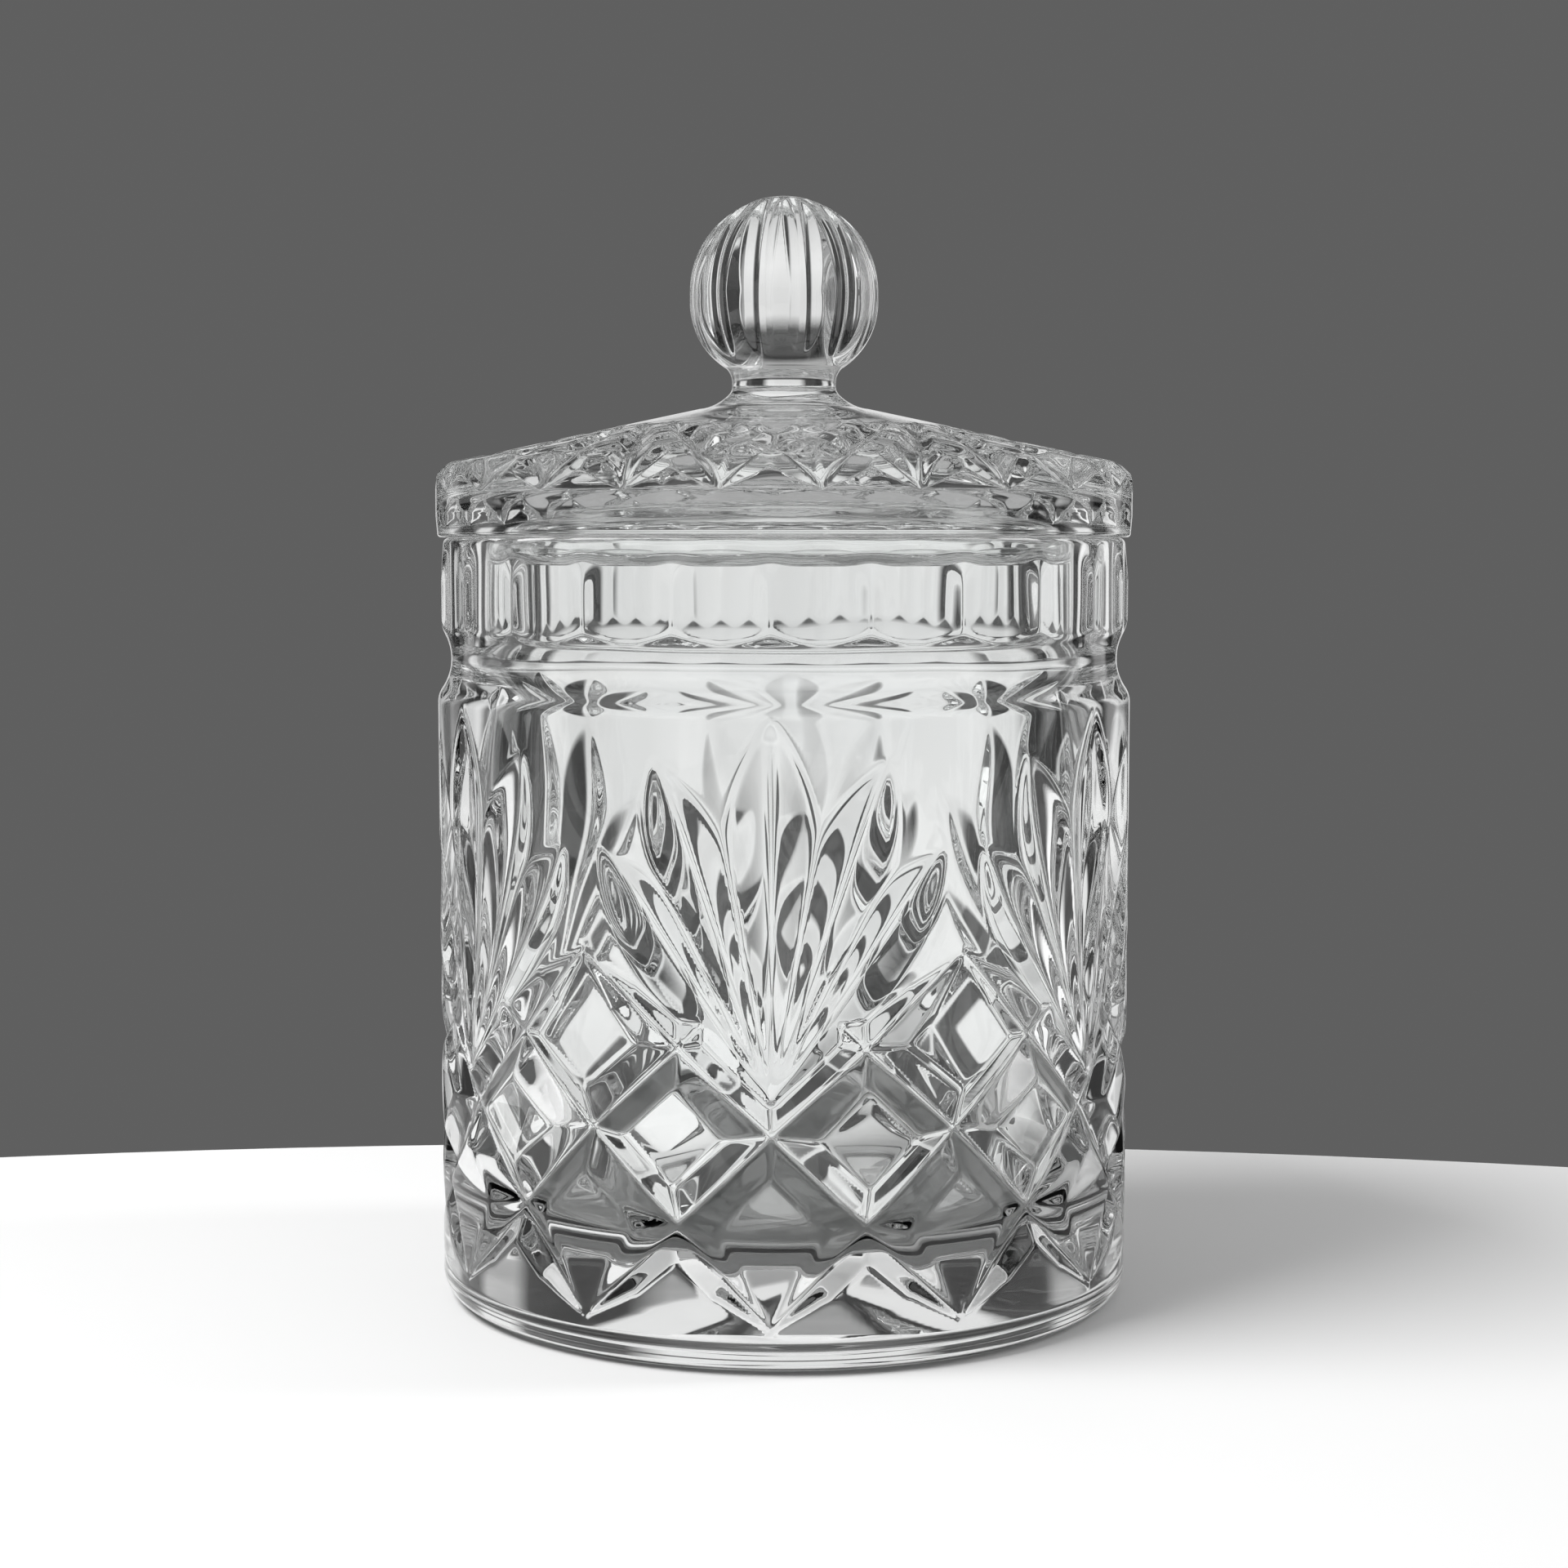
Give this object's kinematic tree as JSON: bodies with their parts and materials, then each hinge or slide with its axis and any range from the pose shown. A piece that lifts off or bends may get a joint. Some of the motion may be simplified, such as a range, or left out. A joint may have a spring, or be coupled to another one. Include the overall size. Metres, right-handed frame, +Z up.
{
  "type": "lidded powder jar",
  "caption": "Round clear pressed-glass powder jar with fans and diamonds cut round the wall, a fluted collar and a loose domed lid with a fluted ball knob.",
  "frame": {"origin": "centre of the foot ring, on the surface the jar stands on", "axes": "+Z up along the jar's axis; the middle blade of one fan faces -Y"},
  "size_m": [0.1002, 0.1002, 0.1584],
  "materials": {
    "glass_jar": "polished",
    "glass_lid": "polished"
  },
  "bodies": {
    "jar": {"jar": "glass_jar"},
    "lid": {"lid": "glass_lid"}
  },
  "joints": [
    {"name": "lid_lift", "type": "slide", "parent": "jar", "child": "lid", "axis": [0, 0, 1], "range_m": [0, 0.12]}
  ]
}
